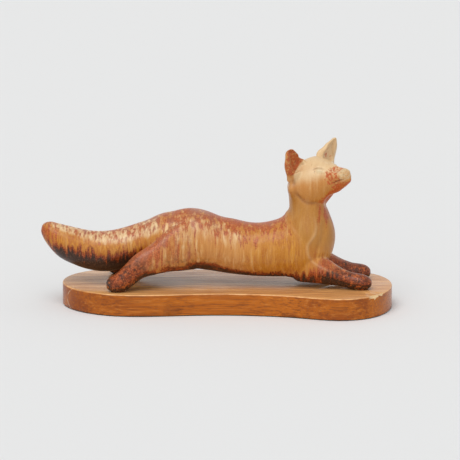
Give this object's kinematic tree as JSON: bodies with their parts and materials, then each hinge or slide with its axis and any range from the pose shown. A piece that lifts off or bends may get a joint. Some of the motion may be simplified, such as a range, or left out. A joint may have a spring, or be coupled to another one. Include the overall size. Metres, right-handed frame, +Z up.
{
  "type": "fox figurine",
  "caption": "Hollow glazed stoneware fox lying stretched out with its head raised and turned, fixed by its paws to a free-form kidney-shaped wooden board",
  "frame": {"origin": "centre of the resting underside of the felt under the board", "axes": "+X runs along the fox from its tail to its forepaws, +Y away from its right side, +Z up"},
  "size_m": [0.3122, 0.1183, 0.1495],
  "materials": {
    "glaze": "streaked rust, amber and cream glaze over dark brown, soft gloss",
    "board_wood": "oiled satin, fine grain along the board",
    "felt": "dark green felt",
    "screw_steel": "zinc plated",
    "insert_brass": "turned"
  },
  "bodies": {
    "root": {"torso": "glaze", "neck": "glaze", "head": "glaze", "tail": "glaze", "right_ear": "glaze", "left_ear": "glaze", "right_foreleg": "glaze", "left_foreleg": "glaze", "right_hind_leg": "glaze", "left_hind_leg": "glaze", "base_board": "board_wood", "base_felt": "felt", "right_forepaw_screw": "screw_steel", "right_forepaw_washer": "screw_steel", "right_forepaw_insert": "insert_brass", "left_forepaw_screw": "screw_steel", "left_forepaw_washer": "screw_steel", "left_forepaw_insert": "insert_brass", "right_hind_paw_screw": "screw_steel", "right_hind_paw_washer": "screw_steel", "right_hind_paw_insert": "insert_brass", "left_hind_paw_screw": "screw_steel", "left_hind_paw_washer": "screw_steel", "left_hind_paw_insert": "insert_brass"}
  },
  "joints": []
}
